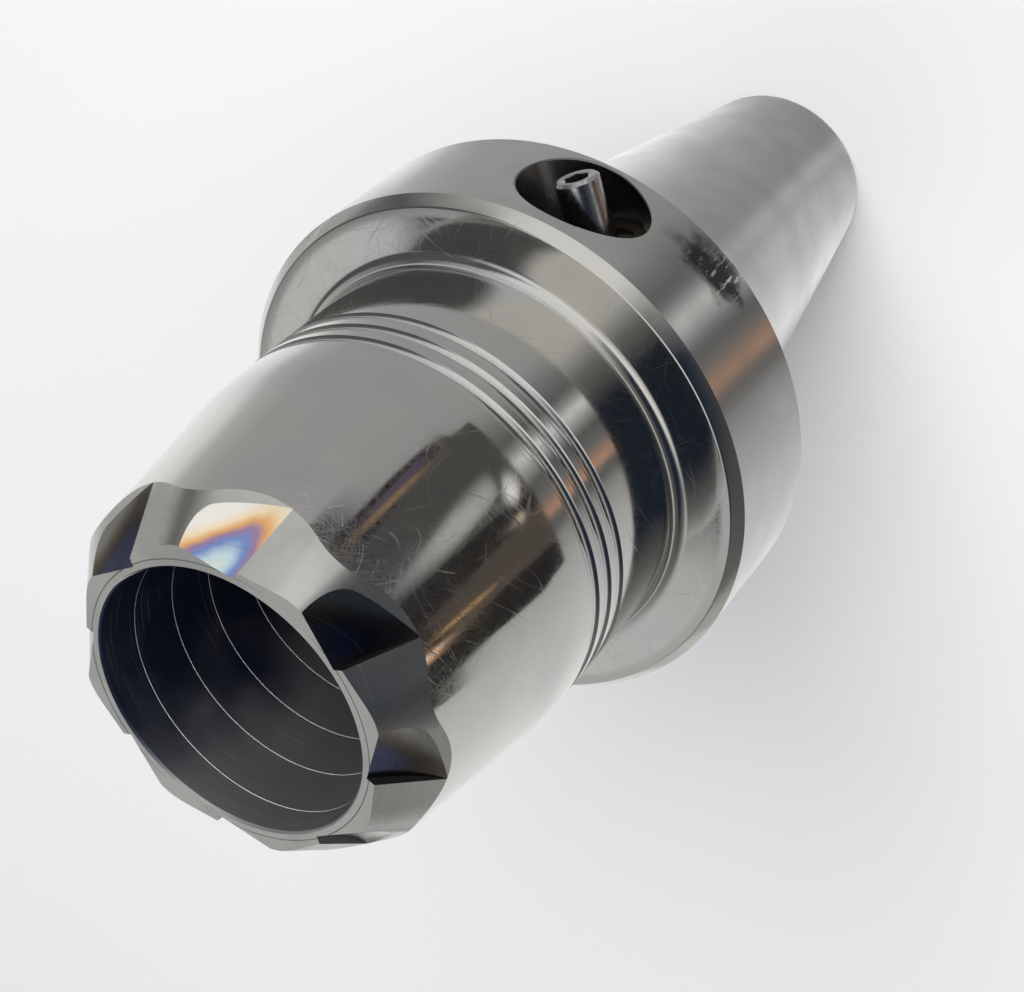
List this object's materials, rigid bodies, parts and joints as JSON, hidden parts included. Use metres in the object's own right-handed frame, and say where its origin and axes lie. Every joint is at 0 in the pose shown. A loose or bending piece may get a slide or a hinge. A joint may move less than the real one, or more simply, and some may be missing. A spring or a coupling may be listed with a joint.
{
  "type": "collet chuck holder",
  "caption": "Steel collet chuck holder with a steep taper shank, plain flange and notched octagonal nose; a side worm spindle draws the collet in.",
  "frame": {"origin": "centre of the shank's small end face", "axes": "+Z along the spindle axis towards the nose; the worm spindle lies along X on the -Y side, its key socket facing +X"},
  "size_m": [0.1, 0.1, 0.2055],
  "materials": {
    "polished_steel": "turned and polished, satin on the nose cone, flange edge and shank",
    "hardened_steel": "ground",
    "spring_steel": "tempered",
    "bearing_bronze": "turned",
    "cage_brass": "milled",
    "black_steel": "black oxide",
    "seal_rubber": "matt"
  },
  "bodies": {
    "body": {"chuck_body": "polished_steel", "retaining_ring": "spring_steel", "worm_front_bush": "bearing_bronze", "worm_rear_bush": "bearing_bronze", "worm_front_washer": "hardened_steel", "worm_rear_washer": "hardened_steel", "spindle_seal": "seal_rubber", "base_washer": "bearing_bronze", "fixed_race": "hardened_steel", "bearing_retainer": "black_steel", "guide_pins": "hardened_steel", "seal_plug": "black_steel", "retainer_o_ring": "seal_rubber"},
    "wheel": {"worm_wheel": "bearing_bronze", "turning_race": "hardened_steel"},
    "cage": {"roller_cage": "cage_brass", "needle_rollers": "hardened_steel"},
    "worm": {"worm_spindle": "hardened_steel"},
    "sleeve": {"draw_sleeve": "black_steel", "tail_o_ring": "seal_rubber"}
  },
  "joints": [
    {"name": "wheel_spin", "type": "hinge", "parent": "body", "child": "wheel", "pos_m": [0, 0, 0.1144], "axis": [0, 0, 1], "range_deg": [0, 300]},
    {"name": "worm_spin", "type": "hinge", "parent": "body", "child": "worm", "pos_m": [0, -0.02613, 0.1144], "axis": [-1, 0, 0], "range_deg": [0, 4500]},
    {"name": "cage_spin", "type": "hinge", "parent": "body", "child": "cage", "pos_m": [0, 0, 0.12315], "axis": [0, 0, 1], "range_deg": [0, 150]},
    {"name": "sleeve_draw", "type": "slide", "parent": "body", "child": "sleeve", "axis": [0, 0, -1], "range_m": [0, 0.005]}
  ],
  "couplings": [
    {"joint": "worm_spin", "follows": "wheel_spin", "ratio": 15},
    {"joint": "cage_spin", "follows": "wheel_spin", "ratio": 0.5},
    {"joint": "sleeve_draw", "follows": "wheel_spin", "m_per_rad": 0.00095493}
  ]
}
